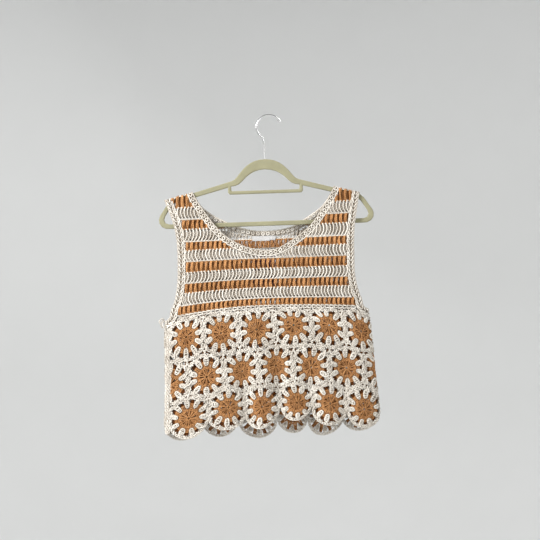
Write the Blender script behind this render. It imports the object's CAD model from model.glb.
"""Crochet top on a slim flocked hanger: its yarn, finishes, light and camera.

Lengths in the tables are in millimetres and the meshes are in metres. The origin is the inside
top of the hook, +Z is up and the front of the top faces -Y. A point of the cloth is named by
its place across (x on the yoke, or the distance round the body from the side seam on the lower
panel), by its drop below the hook when the cloth hangs level, and by how far out it lies from
the middle of the wall.
"""
import math

import bmesh
import bpy
import numpy as np
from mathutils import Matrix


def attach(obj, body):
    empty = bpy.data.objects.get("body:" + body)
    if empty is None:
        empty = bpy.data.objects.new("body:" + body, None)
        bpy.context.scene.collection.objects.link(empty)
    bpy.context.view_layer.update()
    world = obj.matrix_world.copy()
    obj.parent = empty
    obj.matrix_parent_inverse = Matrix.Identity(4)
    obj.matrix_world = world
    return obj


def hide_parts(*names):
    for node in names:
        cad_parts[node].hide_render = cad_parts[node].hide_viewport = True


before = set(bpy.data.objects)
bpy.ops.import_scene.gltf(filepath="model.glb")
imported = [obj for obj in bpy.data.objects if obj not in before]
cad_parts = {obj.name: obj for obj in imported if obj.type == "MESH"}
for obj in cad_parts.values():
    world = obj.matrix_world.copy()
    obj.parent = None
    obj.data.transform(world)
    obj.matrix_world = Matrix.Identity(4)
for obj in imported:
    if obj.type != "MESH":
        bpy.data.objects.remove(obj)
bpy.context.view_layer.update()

bl_info = {
    "name": "Crochet top on a hanger",
    "version": (1, 0, 0),
    "blender": (4, 5, 0),
    "location": "3D View > Sidebar > Crochet top",
    "description": "Lays the yarn of a crochet top over its solids and finishes its hanger",
    "category": "Object",
}

MM = 0.001
FRONT, BACK = -1, 1
LEFT, RIGHT = -1, 1
SEAM = 0.3
TILT = math.radians(1.9)
TURN = 2 * math.pi


# ------------ named tables

def table(columns, *rows):
    """A short table with named columns, kept as {column: array}."""
    return {name: np.array([row[i] for row in rows]) for i, name in enumerate(columns.split())}


def row_of(tab, i):
    """One row of a table, kept as {column: value}."""
    return {name: column[i] for name, column in tab.items()}


def read(tab, column, at):
    """Smooth reading of a column at values of the table's first column."""
    xs, ys = next(iter(tab.values())), tab[column]
    slope = np.zeros(len(xs))
    slope[1:-1] = (ys[2:] - ys[:-2]) / (xs[2:] - xs[:-2])
    at = np.clip(at, xs[0], xs[-1])
    i = np.clip(np.searchsorted(xs, at, side="right") - 1, 0, len(xs) - 2)
    step = xs[i + 1] - xs[i]
    t = (at - xs[i]) / step
    rise = ys[i + 1] - ys[i]
    a, b = slope[i] * step - rise, rise - slope[i + 1] * step
    return ys[i] + t * rise + t * (1 - t) * (a * (1 - t) + b * t)


def smooth(t):
    """0 to 1 with soft ends."""
    t = np.clip(t, 0.0, 1.0)
    return t * t * (3 - 2 * t)


# the hanger, before it is tilted
HANGER_X = -12.0         # its middle
HOOK_WIRE = 1.75         # radius of the wire
HOOK_BEND = 25.6         # radius of the hook, to the middle of the wire
ARM_TOP = -132.6         # where the straight top edge of an arm starts, and how far out
ARM_START = 69.4
ARM_FALL = 0.2746        # slope of the arms
HANGER_CREST = -89.3     # top of the hanger's arch

# the hanging body: its walls, and their bend over the arms
WALL = 3.0
SADDLE = 4.5
SADDLE_LEVEL = 2.7
SADDLE_FROM = 300.0      # the walls hang apart by the bend's radius down to here
SIDE_POWER = 2.4         # how squarely the body turns at its sides
BODY = table(
    "drop half centre front back",
    (150, 240, -11, 0, 0),
    (210, 232, -10, 6, 5),
    (260, 226, -8, 10, 8),
    (300, 221, -6, 14, 11),
    (340, 216, -5, 19, 15),
    (385, 209, -5, 25, 20),
    (438, 212, -1, 29, 23),
    (520, 216, 3, 31, 25),
    (600, 220, 7, 32, 26),
    (650, 220, 8, 32, 26))
SAG = table(
    "drop left right",
    (150, 0, -4),
    (184, 2, -4),
    (229, 3, -4),
    (255, 3, -3),
    (295, 5, -1),
    (337, 9, 1),
    (355, 12, 3),
    (376, 17, 6),
    (390, 22, 9),
    (438, 25, 14),
    (650, 25, 16))
BACK_LONGER = 30.0       # how much lower the back hangs at the lowest drop, and from where
BACK_FROM = 280.0
CLEAR_OF_BAR = 385.0     # below this drop the cloth is one tube, clear of the hanger
LOWEST = 650.0

# the soft troughs of the hanging cloth
FOLDS = table(
    "side x lean start full breadth depth",
    (FRONT, -121, -0.02, 500, 640, 15, 7),
    (FRONT, -49, 0.02, 430, 620, 14, 12),
    (FRONT, 18, 0.02, 400, 600, 13, 13),
    (FRONT, 88, 0.0, 420, 620, 13, 10),
    (FRONT, 150, 0.03, 380, 600, 14, 13),
    (BACK, -95, -0.03, 420, 620, 17, 8),
    (BACK, -12, 0.02, 450, 640, 16, 7),
    (BACK, 84, 0.03, 430, 620, 17, 8))

# the stripes: where each ends, whether it is caramel, how many posts it has if their pitch
# doesn't set that, how far an arc bulges to the right, and how far its lower end trails there
ROWS = table(
    "bottom top caramel posts bulge tail",
    (389.6, 376.5, 1, 38, 0, 0),
    (376.5, 354.6, 0, 0, -2.9, 4.4),
    (354.6, 337.2, 1, 35, 0, 0),
    (337.2, 315.3, 0, 0, 3.0, -4.4),
    (315.3, 295.4, 1, 34, 0, 0),
    (295.4, 272.4, 0, 0, -2.9, 4.6),
    (272.4, 255.2, 1, 0, 0, 0),
    (255.2, 228.9, 0, 0, 3.3, -4.8),
    (228.9, 209.7, 1, 0, 0, 0),
    (209.7, 183.8, 0, 0, -3.0, 4.6),
    (183.8, 140.0, 1, 0, 0, 0))
YOKE_BOTTOM = 389.6
STRAP_PITCH = 9.8
STRAPS_ABOVE = 275.0     # rows above this lie on the straps
ARC_PITCH = 7.0
POST_STEP = 2.3          # distance between the points of a post's strands
POST_ROUND = 2.0         # radius of such a strand
POST_APART = 1.45        # half the distance between the two strands of a post
POST_LEAN = -1.1         # how far the middle of a post lies to the side
ARC_ROUND = 1.75         # radius of a curved strand
ROPE_STEP = 2.4          # distance between the points of a rope
RING_PITCH = 10.4        # distance between the rings of the neck trims
INSIDE_SHADOW = 0.45     # how dark the deep strands are where the cloth's inside is on show

# how far up the bend over the arm the trims, the yoke and its closing chain reach, as shares
# of a quarter turn
TRIM_END = 0.97
YOKE_END = 0.9
CHAIN_LIES = 0.6
UNDER_TRIM = 1.0         # how far the yoke's strands run under its trims

ARMHOLE = table(
    "drop left right",
    (140, -226, 196),
    (165, -216, 188),
    (190, -206, 183.5),
    (209, -198.5, 180.5),
    (236, -191.5, 177),
    (260, -188, 175.5),
    (290, -186.5, 175.5),
    (328, -186.5, 176.5),
    (350, -189, 180),
    (369, -194, 186),
    (385, -202, 193))
ARM_TRIM = 15.5
UNDERARM_DEEP = 11.0     # depth of the bend under the arm, at its upper and its lower edge
UNDERARM_LOW = 25.0
NECK_FRONT = table(
    "x drop",
    (-171, 128), (-156, 155), (-147, 172), (-127, 201), (-107, 227), (-82, 250.5),
    (-52, 267.5), (-26, 275.5), (0, 278.5), (20, 273.8), (41, 263), (65, 247.5),
    (84, 231.5), (101, 210), (116, 186.5), (126.5, 168), (134, 153), (144, 126))
NECK_BACK = table(
    "x drop",
    (-171, 128), (-156, 155), (-141, 180), (-115, 201), (-83, 218), (-58, 228.5),
    (-30, 235.5), (0, 237), (28, 234.5), (51, 228.5), (72, 216.5), (92, 204),
    (110, 190.5), (124, 172), (134, 153), (144, 126))
NECK_TRIM = 13.0

# the lower panel round the body
PITCH = 77.0             # distance between motifs
MOTIFS_ROUND = 12
BAND = 15.0              # breadth of the seam band
ROUND = PITCH * MOTIFS_ROUND + BAND
TWIST = 10.0             # how far the seam band lies from the left side
JOIN_ROW = 8.0
MOTIF_ROWS = table(
    "drop offset",
    (436.0, 0.5),
    (518.0, 0.0),
    (596.0, 0.5))
ROW_LETTERS = "abc"
MOTIF_ROUND = 45.5       # how far any motif reaches at most; at the hem each has its own reach
HEM_SIDE = 0.2           # sine of the angle where a motif's hem side starts
SCALLOPS = (41.0, 44.5, 43.5, 35.5, 43.0, 37.0, 41.0, 43.0, 37.0, 44.0, 36.0, 41.0)
SLID_FROM = 400.0
HEM_DROP = 640.0

# how far the panel has slid round the body and sunk, at the middle of each row and the hem
SLID = table(
    "around a b c hem",
    (0, 0, 0, 0, 0),
    (46, 0, 4, 4, 6),
    (84, 0, 6, 7, 8),
    (123, 0, 5, 10, 9),
    (161, 0, 4, 7, 4),
    (200, 1, 1, 5, 0),
    (277, 4.5, 0, 5, 0),
    (354, 5.5, 0, -1, -8),
    (430, 0, 0, -5, -11),
    (475, 0, 0, -2, -4),
    (520, 0, 0, 0, 0),
    (585, 0, 0, 2, 2),
    (662, 0, -3, -9, -9),
    (739, 0, -4, -12, -12),
    (816, 0, -3, -7, -7),
    (880, 0, 0, 0, 0),
    (939, 0, 0, 0, 0))
SUNK = table(
    "around a b c hem",
    (0, 0, 7, 4, 4),
    (46, -1, 7, 5, 5),
    (84, 1, 5, -1, -1),
    (123, 3, 4, -5, -5),
    (161, 4, 3, -2, -2),
    (200, 3, -1, 0, 0),
    (238, -1, -4, -5, -5),
    (277, -4, -2, -7, -7),
    (354, -5, -1, -6, -6),
    (392, 0, -2, -1, -1),
    (430, 4, -3, 2, 2),
    (475, 2, -3, 1, 1),
    (520, 0, 0, 0, 0),
    (816, 0, 0, 0, 0),
    (880, 0, 3, 2, 2),
    (939, 0, 7, 4, 4))

# the labels inside the back neck, and the distance between the stitches that hold them
LABEL_THICK = 0.6
STITCH_PITCH = 2.6
LABELS = table(
    "x drop wide high",
    (-34.0, 247.6, 36.0, 10.0),
    (2.3, 247.6, 11.0, 9.0),
    (-35.0, 290.0, 48.0, 70.0))

# the flower motif, by distance from its centre
HUB = 3.4
POST_END = 18.4
RIM = 17.2        # the chain round the posts
WHEEL = 20.0      # where the caramel heart ends
SPOKE_END = 29.5
PETAL_END = 41.0
CHAIN = 38.0      # where the outer chain dips behind a petal
FREE = 43.9       # how far a motif reaches where nothing presses it
PETALS = 10
# half the outline of a petal, and its cross strands: distance from the centre, half breadth
LEAF = ((22.2, 0.8), (23.6, 2.5), (26.4, 3.5), (30.0, 3.9), (33.6, 4.1), (36.4, 3.4), (38.0, 1.0))
RUNGS = ((26.6, 2.8), (30.6, 3.5), (34.6, 3.8))
# how far each motif is turned, row by row, in degrees
MOTIF_TURNS = (
    (4, -6, 9, -3, 6, 0, 5, -8, 2, 7, -5, 0),
    (0, 5, -7, 3, 10, -4, 0, 8, -3, 6, -9, 2, 0),
    (-5, 8, 0, -9, 4, 7, -2, 5, -6, 3, 9, -4))

# loose ends of yarn, as (x, z, y) in space
TAILS = (((-216, -421, -3), (-221, -426, -7), (-222, -433, -9), (-218, -439, -9)),
         ((-215, -424, -4), (-219, -430, -10), (-215, -437, -12), (-211, -445, -11)),
         ((-218, -419, -3), (-224, -422, -6), (-226, -427, -6), (-223, -430, -5)))

# the stage: where the lights aim, in metres, and the strength of the light from all round
MIDDLE = (0.0, 0.0, -0.33)
AMBIENT = 0.20
VIEW_HIGH = 1118.0       # height of what the camera sees at the hanger
VIEW_FROM = 1450.0       # its distance from the hanger


# ------------ the hanging body

def hanger_point(out, level):
    """World x and z of a point of the hanger, given from its middle and the hook's top."""
    across = out + HANGER_X
    return (across * math.cos(TILT) - level * math.sin(TILT),
            across * math.sin(TILT) + level * math.cos(TILT))


def arm_top(x):
    """World height of the arms' top edge over x."""
    def line(hand):
        ax, az = hanger_point(hand * ARM_START, ARM_TOP)
        bx, bz = hanger_point(hand * (ARM_START + 100), ARM_TOP - 100 * ARM_FALL)
        return az + (bz - az) * (x - ax) / (bx - ax)

    return np.where(x > hanger_point(0, ARM_TOP)[0], line(RIGHT), line(LEFT))


def share(x, drop):
    """Place across the body, -1 at its left side and 1 at its right."""
    return np.clip((x - read(BODY, "centre", drop)) / read(BODY, "half", drop), -1.0, 1.0)


def level(side, x, drop):
    """World height of a cloth point, before the straps bend over the arms."""
    u = share(x, drop)
    sag = np.where(u < 0, read(SAG, "left", drop), read(SAG, "right", drop))
    longer = BACK_LONGER * smooth((drop - BACK_FROM) / (LOWEST - BACK_FROM))
    z = -drop + math.tan(TILT) * x - sag * u * u
    return z - np.where(side == BACK, longer * (1 - np.abs(u) ** 3), 0.0)


def fold(side, x, drop):
    """How far the troughs take the wall inward here."""
    inward = 0.0
    for i in np.flatnonzero(FOLDS["side"] == side):
        one = row_of(FOLDS, i)
        grown = smooth((drop - one["start"]) / (one["full"] - one["start"]))
        middle = one["x"] + one["lean"] * (drop - one["start"])
        inward = inward + one["depth"] * grown * np.exp(-((x - middle) / one["breadth"]) ** 2 / 2)
    return inward


def depth(side, x, drop):
    """World y of a wall's middle."""
    u = np.abs(share(x, drop))
    fullness = (1 - u ** SIDE_POWER) ** (1 / SIDE_POWER)
    apart = SADDLE * (1 - smooth((drop - SADDLE_FROM) / (CLEAR_OF_BAR - SADDLE_FROM)))
    full = fullness * read(BODY, "front" if side == FRONT else "back", drop)
    return side * (apart + full - fold(side, x, drop) * (1 - u * u))


def wall_point(side, x, drop):
    """Middle of the yoke's wall at a cloth point, with the bend over the arm."""
    z = level(side, x, drop)
    start = arm_top(x) - SADDLE_LEVEL
    angle = np.maximum(z - start, 0) / SADDLE
    bent = angle > 0
    y = np.where(bent, side * SADDLE * np.cos(angle), depth(side, x, drop))
    return np.stack((x, y, np.where(bent, start + SADDLE * np.sin(angle), z)), -1)


def facing(place, a, b, outward):
    """Unit normals of a surface given as place(a, b), turned to the outward side."""
    small = 0.4
    normal = np.cross(place(a + small, b) - place(a - small, b),
                      place(a, b + small) - place(a, b - small))
    normal /= np.linalg.norm(normal, axis=-1, keepdims=True)
    return normal * np.where((normal * outward).sum(-1) > 0, 1.0, -1.0)[..., None]


def on_wall(side):
    """place(x, drop, out) for the yoke's front or back."""
    def place(x, drop, out):
        def surface(a, b):
            return wall_point(side, a, b)

        outward = np.array((0, side, 0.6))
        return surface(x, drop) + facing(surface, x, drop, outward) * out[..., None]
    return place


# ------------ round the body

RING_FROM, RING_STEP, RING_POINTS, RING_COUNT = 375, 5, 240, 56


def ring(drop):
    """Places round the body from its left side over the front, and the distance of each."""
    turn = np.linspace(0, TURN, 2 * RING_POINTS + 1)
    x = read(BODY, "centre", drop) - read(BODY, "half", drop) * np.cos(turn)
    front = np.arange(2 * RING_POINTS + 1) <= RING_POINTS
    y = np.where(front, depth(FRONT, x, drop), depth(BACK, x, drop))
    along = np.concatenate(([0], np.cumsum(np.hypot(np.diff(x), np.diff(y)))))
    return x, y, along * ROUND / along[-1]


RINGS = [ring(RING_FROM + RING_STEP * i) for i in range(RING_COUNT)]
EVERY = np.arange(int(ROUND) + 1)
RING_X = np.array([np.interp(EVERY, along, x) for x, _, along in RINGS])
RING_Y = np.array([np.interp(EVERY, along, y) for _, y, along in RINGS])


def moved(tab, around, drop):
    """Reading of one of the tables of how the lower panel has settled."""
    around = around % ROUND
    total, before, above = 0.0, 0.0, SLID_FROM
    for row, at in zip((*ROW_LETTERS, "hem"), (*MOTIF_ROWS["drop"], HEM_DROP)):
        here = read(tab, row, around)
        total = total + (here - before) * smooth((drop - above) / (at - above))
        before, above = here, at
    return total


def round_point(around, drop):
    """Middle of the lower panel's wall, a distance round the body from the seam band."""
    distance = (around + moved(SLID, around, drop) + TWIST) % ROUND
    i = np.clip(((drop - RING_FROM) // RING_STEP).astype(int), 0, RING_COUNT - 2)
    t = (drop - RING_FROM) / RING_STEP - i
    j = np.clip(distance.astype(int), 0, len(EVERY) - 2)
    s = distance - j

    def between(grid):
        upper = grid[i, j] * (1 - s) + grid[i, j + 1] * s
        lower = grid[i + 1, j] * (1 - s) + grid[i + 1, j + 1] * s
        return upper * (1 - t) + lower * t

    x, y = between(RING_X), between(RING_Y)
    z = level(np.where(y < 0, FRONT, BACK), x, drop) - moved(SUNK, around, drop)
    return np.stack((x, y, z), -1)


def on_body(around, drop, out):
    """Points of the lower panel, out from mid-wall."""
    at = round_point(around, drop)
    away = at[..., 0] - read(BODY, "centre", drop)
    outward = np.stack((away, 6 * at[..., 1], np.zeros_like(away)), -1)
    return at + facing(round_point, around, drop, outward) * out[..., None]


def clear_ring():
    """The ring at the drop where the cloth is clear of the hanger."""
    return RINGS[int((CLEAR_OF_BAR - RING_FROM) / RING_STEP)]


def side_around(hand):
    """Where the body's left or right side lies, measured round from the seam band."""
    return -TWIST if hand == LEFT else clear_ring()[2][RING_POINTS] - TWIST


def from_side(hand, around):
    """Distance round the body from its left or right side, positive on the front."""
    away = (around - side_around(hand) + ROUND / 2) % ROUND - ROUND / 2
    return away * -hand


def armhole_x(hand, drop, inward):
    """x of an armhole's edge, or of a line some way inward of it."""
    return read(ARMHOLE, "left" if hand == LEFT else "right", drop) - hand * inward


def reach(hand, side, inward):
    """How far the armhole edge lies from the body's side where the underarm bend starts."""
    x, _, along = clear_ring()
    front, back = slice(0, RING_POINTS + 1), slice(2 * RING_POINTS, RING_POINTS - 1, -1)
    span = front if side == FRONT else back
    around = np.interp(armhole_x(hand, CLEAR_OF_BAR, inward), x[span], along[span]) - TWIST
    return abs(from_side(hand, around))


REACH = {(hand, side, inward): reach(hand, side, inward)
         for hand in (LEFT, RIGHT) for side in (FRONT, BACK) for inward in (0, ARM_TRIM)}


def underarm(hand, side, turn, inward):
    """Place (around, drop) on the underarm bend; turn runs 0 to 90 down to its lowest point."""
    angle = np.radians(turn)
    deep = UNDERARM_LOW if inward else UNDERARM_DEEP
    around = side_around(hand) + hand * side * REACH[hand, side, inward] * np.cos(angle)
    return around, CLEAR_OF_BAR + deep * np.sin(angle)


def trim_low(around, gap):
    """Drop of the lower edge of the armhole trims over places round the body, or 0."""
    low = np.zeros_like(around)
    for hand in (LEFT, RIGHT):
        away = from_side(hand, around)
        front, back = (REACH[hand, side, ARM_TRIM] + gap for side in (FRONT, BACK))
        reached = np.where(away > 0, front, back)
        curve = np.sqrt(np.clip(1 - (away / reached) ** 2, 0, 1))
        low = np.where(np.abs(away) < reached, CLEAR_OF_BAR + (UNDERARM_LOW + gap) * curve, low)
    return low


def panel_top(around):
    """Highest place that a motif of the top row may reach."""
    return np.maximum(YOKE_BOTTOM + JOIN_ROW + 2 * SEAM, trim_low(around, 1.0))


# ------------ lines and strips

def run_of(points):
    """Distance along a line at each of its points."""
    return np.concatenate(([0], np.cumsum(np.linalg.norm(np.diff(points, axis=0), axis=1))))


def normals_of(points):
    """Unit normals of a line on flat cloth."""
    along = np.gradient(points, axis=0)
    along /= np.linalg.norm(along, axis=1, keepdims=True)
    return np.stack((-along[:, 1], along[:, 0]), -1)


def evenly(points, step):
    """Points at an even step along a smooth line through the given ones."""
    points = np.asarray(points, float)
    run = run_of(points)
    at = np.linspace(0, run[-1], max(int(run[-1] / step), 2) + 1)
    return np.stack([read({"s": run, "v": column}, "v", at) for column in points.T], -1)


def over_arm(side, x, drop):
    """How far up the bend over the arm a point lies, 1 at a quarter turn; negative below it."""
    return (level(side, x, drop) - arm_top(x) + SADDLE_LEVEL) / (SADDLE * math.pi / 2)


def shoulder_drop(side, x, share_of):
    """Drop at which the strap over x has bent by a share of a quarter turn over the arm."""
    target = arm_top(x) - SADDLE_LEVEL + SADDLE * share_of * math.pi / 2
    drop = -target
    for _ in range(6):
        drop = drop + level(side, x, drop) - target
    return drop


def neck_line(side, away):
    """The neck edge moved down and outward by a distance, cut off over the arms."""
    tab = NECK_FRONT if side == FRONT else NECK_BACK
    line = evenly(np.stack((tab["x"], tab["drop"]), -1), 2.0)
    line = line + normals_of(line) * away
    return line[over_arm(side, line[:, 0], line[:, 1]) < TRIM_END]


class Line:
    """A line on flat cloth; at(s, across) gives the places beside it."""

    def __init__(self, points):
        self.points = evenly(points, 1.0)
        self.run = run_of(self.points)
        self.length = self.run[-1]
        self.normal = normals_of(self.points)

    def at(self, s, across):
        return [np.interp(s, self.run, self.points[:, i])
                + np.interp(s, self.run, self.normal[:, i]) * across for i in (0, 1)]


def level_line(left, right, drop):
    return Line([(left, drop), (right, drop)])


class Strip:
    """A narrow band between two edges in space; place(s, across, out) is a point of it."""

    def __init__(self, *edges):
        """edges: the points of the upper and the lower edge, and the outward steps at them."""
        self.edges = np.split(evenly(np.concatenate(edges, axis=1), 1.5), 4, axis=1)
        upper, lower = self.edges[:2]
        self.run = run_of((upper + lower) / 2)
        self.length = self.run[-1]
        self.breadth = np.linalg.norm(upper - lower, axis=1).mean()

    def at(self, s, across):
        """Strands on a strip are given in its own places."""
        return s, across

    def place(self, s, across, out):
        t = (across / self.breadth + 0.5)[:, None]
        upper, lower, upper_out, lower_out = (
            np.stack([np.interp(s, self.run, column) for column in edge.T], -1)
            for edge in self.edges)
        return (upper * (1 - t) + lower * t
                + (upper_out * (1 - t) + lower_out * t) * out[:, None])


def strip_of(*stretches):
    """A strip through stretches of (place, upper points, lower points)."""
    columns = [[], [], [], []]
    for place, upper, lower in stretches:
        for k, (x, drop) in enumerate((upper, lower)):
            middle = place(x, drop, np.zeros_like(x))
            columns[k].append(middle)
            columns[k + 2].append(place(x, drop, np.ones_like(x)) - middle)
    return Strip(*[np.concatenate(column) for column in columns])


# ------------ yarn

class Skein:
    """Strands of one yarn, in the coordinates of the cloth that they are worked into."""

    def __init__(self, seed, shadow=1.0):
        self.random = np.random.default_rng(seed)
        self.shadow = shadow
        self.runs = []

    def strand(self, across, down, out, radius, closed=False, wander=0.12, deep=0.0):
        """One strand through the given places; deep darkens one that lies behind others."""
        places = np.stack(np.broadcast_arrays(across, down, out), -1).astype(float)
        places += self.random.normal(0, wander, (1, 3)) * (1, 1, 0.6)
        places += self.random.normal(0, wander * 0.6, places.shape) * (1, 1, 0.4)
        radii = np.broadcast_to(np.asarray(radius, float), len(places)).copy()
        radii *= self.random.normal(1.0, 0.04)
        tone = self.random.uniform(0, 1) - 2.0 * deep * self.shadow
        self.runs.append((places, radii, closed, tone))

    def shift(self, across, down, first):
        """Moves every strand from one number on."""
        for places, _, _, _ in self.runs[first:]:
            places[:, 0] += across
            places[:, 1] += down

    def trim(self, keep, first=0):
        """Cuts the strands where keep(across, down) is false, from one number on."""
        kept = self.runs[:first]
        for places, radii, closed, tone in self.runs[first:]:
            held = keep(places[:, 0], places[:, 1])
            if held.all():
                kept.append((places, radii, closed, tone))
                continue
            edges = np.flatnonzero(np.diff(np.concatenate(([0], held.astype(int), [0]))))
            for start, end in edges.reshape(-1, 2):
                if end - start > 1:
                    kept.append((places[start:end], radii[start:end], False, tone))
        self.runs = kept


def vees(skein, line, pitch, width, radius, out, plump=0.6):
    """A chain of leaf-shaped stitches along a line or strip, two legs to each step."""
    count = max(round(line.length / pitch), 1)
    pitch = line.length / count
    t = np.linspace(0, 1, 5)
    swell = np.sin(np.pi * np.clip(t, 0.04, 0.96))
    for i in range(count):
        s = np.clip(pitch * (i - 0.14 + 1.22 * t), 0.0, line.length)
        for hand in (LEFT, RIGHT):
            across = hand * width * (0.36 - 0.30 * t ** 1.5)
            skein.strand(*line.at(s, across), out + 0.55 * swell - 0.35 * t,
                         radius * (1 - plump + plump * swell))


def rope(skein, line, away, radius, out, pitch, swing=0.5, deep=0.0):
    """One strand that waves a little along a line or strip, at a distance from its middle."""
    s = np.linspace(0, line.length, max(int(line.length / ROPE_STEP), 4))
    wave = TURN * s / pitch + skein.random.uniform(0, TURN)
    skein.strand(*line.at(s, away + swing * np.sin(wave)), out + 0.4 * swing * np.cos(wave),
                 radius, deep=deep)


# ------------ shader and node helpers

class Term:
    """A shader socket that takes part in arithmetic."""

    def __init__(self, finish, socket):
        self.finish, self.socket = finish, socket

    def math(self, operation, *others, swapped=False):
        terms = (self, *others)[::-1 if swapped else 1]
        return self.finish.node("Math", dict(enumerate(terms)), operation=operation)

    def __add__(self, other):
        return self.math("ADD", other)

    def __sub__(self, other):
        return self.math("SUBTRACT", other)

    def __rsub__(self, other):
        return self.math("SUBTRACT", other, swapped=True)

    def __mul__(self, other):
        return self.math("MULTIPLY", other)

    def __pow__(self, other):
        return self.math("POWER", other)

    def clamp(self):
        return self.finish.node("Clamp", {0: self})

    __radd__, __rmul__ = __add__, __mul__


class Finish:
    """A material built from plain calls; constants go straight onto the shader's sockets."""

    def __init__(self, name, constants):
        self.material = bpy.data.materials.new(name)
        self.material.use_nodes = True
        self.tree = self.material.node_tree
        self.shader = self.tree.nodes["Principled BSDF"]
        for socket, value in constants.items():
            self.shader.inputs[socket].default_value = value

    def node(self, kind, inputs, output=0, **settings):
        """A node of any kind: its settings, and the values or links of its sockets."""
        made = self.tree.nodes.new("ShaderNode" + kind)
        for name, value in settings.items():
            setattr(made, name, value)
        for name, value in inputs.items():
            self.feed(made.inputs[name], value)
        return Term(self, made.outputs[output])

    def feed(self, socket, value):
        if isinstance(value, Term):
            self.tree.links.new(value.socket, socket)
        else:
            socket.default_value = value

    def mix(self, factor, a, b):
        """A blend of two colours."""
        return self.node("Mix", {0: factor, 6: (*a, 1), 7: (*b, 1)}, output=2, data_type="RGBA",
                         clamp_factor=True)

    def attribute(self, name, output):
        return self.node("Attribute", {}, output, attribute_name=name)

    def noise(self, scale, detail=3.0, stretch=(1, 1, 1)):
        """Noise on the object's own coordinates, about 0.5."""
        place = self.node("TexCoord", {}, "Object")
        vector = self.node("Mapping", {"Vector": place, "Scale": stretch})
        return self.node("TexNoise", {"Vector": vector, "Scale": scale, "Detail": detail})

    def end(self, bump=None, **links):
        """Links the shader's sockets; bump is a height, a distance and a strength."""
        if bump:
            links["Normal"] = self.node("Bump", dict(zip(("Height", "Distance", "Strength"), bump)))
        for name, value in links.items():
            self.feed(self.shader.inputs[name.replace("_", " ")], value)
        return self.material


def dimmed(colour, by):
    return tuple(by * part for part in colour)


def yarn_finish(name, light, dark, twist_length):
    """Two-ply cotton: a twist that runs along each strand, soft fuzz and an uneven colour."""
    finish = Finish(name, {"Sheen Weight": 0.02, "Sheen Roughness": 0.5,
                           "Specular IOR Level": 0.14})
    ply = finish.node("SeparateXYZ", {0: finish.attribute("ply", "Vector")})
    turned = Term(finish, ply.socket.node.outputs["Y"]).math("ARCTAN2", ply)
    run = finish.attribute("run", "Fac")
    twist = (2 * turned + run * (TURN / twist_length)).math("SINE")
    groove = (0.5 - 0.5 * twist) ** 3.0
    fuzz = finish.noise(1400.0)
    cloud = finish.noise(38.0)
    tone = finish.attribute("tone", "Fac")
    normal = finish.node("NewGeometry", {}, "Normal")
    lay = finish.node("VectorMath", {0: normal, 1: finish.attribute("outward", "Vector")},
                      "Value", operation="DOT_PRODUCT")
    open_to_light = finish.node(
        "MapRange", {"Value": lay.math("ABSOLUTE"), "From Min": 0.16, "From Max": 0.96},
        interpolation_type="SMOOTHSTEP")
    bright = 0.53 + 0.30 * tone + 0.40 * (cloud - 0.5) + 0.30 * (fuzz - 0.5) - 0.35 * groove
    bright = (bright * (0.03 + 1.08 * open_to_light)).clamp()
    return finish.end(bump=((1 - groove) + 0.5 * fuzz, 0.0004, 0.55),
                      Base_Color=finish.mix(bright, dark, light),
                      Roughness=(0.82 + 0.14 * fuzz).clamp())


def tube_tree():
    """Geometry nodes that turn lines of stitches into closed round strands."""
    tree = bpy.data.node_groups.new("yarn_strands", "GeometryNodeTree")
    face = tree.interface
    for label, kind, way in (("Geometry", "Geometry", "INPUT"), ("Sides", "Int", "INPUT"),
                             ("Plumpness", "Float", "INPUT"), ("Yarn", "Material", "INPUT"),
                             ("Geometry", "Geometry", "OUTPUT")):
        face.new_socket(label, in_out=way, socket_type="NodeSocket" + kind)

    def node(kind, settings=(), **inputs):
        made = tree.nodes.new(kind)
        for name, value in dict(settings).items():
            setattr(made, name, value)
        for name, value in inputs.items():
            socket = made.inputs[name.replace("_", " ")]
            if isinstance(value, bpy.types.NodeSocket):
                tree.links.new(value, socket)
            else:
                socket.default_value = value
        return made

    given = node("NodeGroupInput").outputs
    lines = node("GeometryNodeMeshToCurve", Mesh=given["Geometry"]).outputs["Curve"]
    thick = node("GeometryNodeInputNamedAttribute", {"data_type": "FLOAT"}, Name="thick")
    scaled = node("ShaderNodeMath", {"operation": "MULTIPLY"})
    tree.links.new(thick.outputs["Attribute"], scaled.inputs[0])
    tree.links.new(given["Plumpness"], scaled.inputs[1])
    circle = node("GeometryNodeCurvePrimitiveCircle", Resolution=given["Sides"], Radius=1.0)
    ply = node("GeometryNodeStoreNamedAttribute",
               {"data_type": "FLOAT_VECTOR", "domain": "POINT"},
               Geometry=circle.outputs["Curve"], Name="ply",
               Value=node("GeometryNodeInputPosition").outputs["Position"])
    tubes = node("GeometryNodeCurveToMesh", Curve=lines, Scale=scaled.outputs[0],
                 Profile_Curve=ply.outputs["Geometry"], Fill_Caps=True)
    soft = node("GeometryNodeSetShadeSmooth", Geometry=tubes.outputs["Mesh"])
    whole = node("GeometryNodeRealizeInstances", Geometry=soft.outputs["Geometry"])
    done = node("GeometryNodeSetMaterial", Geometry=whole.outputs["Geometry"],
                Material=given["Yarn"])
    node("NodeGroupOutput", Geometry=done.outputs["Geometry"])
    return tree


def show(name, data):
    made = bpy.data.objects.new(name, data)
    bpy.context.scene.collection.objects.link(made)
    return made


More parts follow.
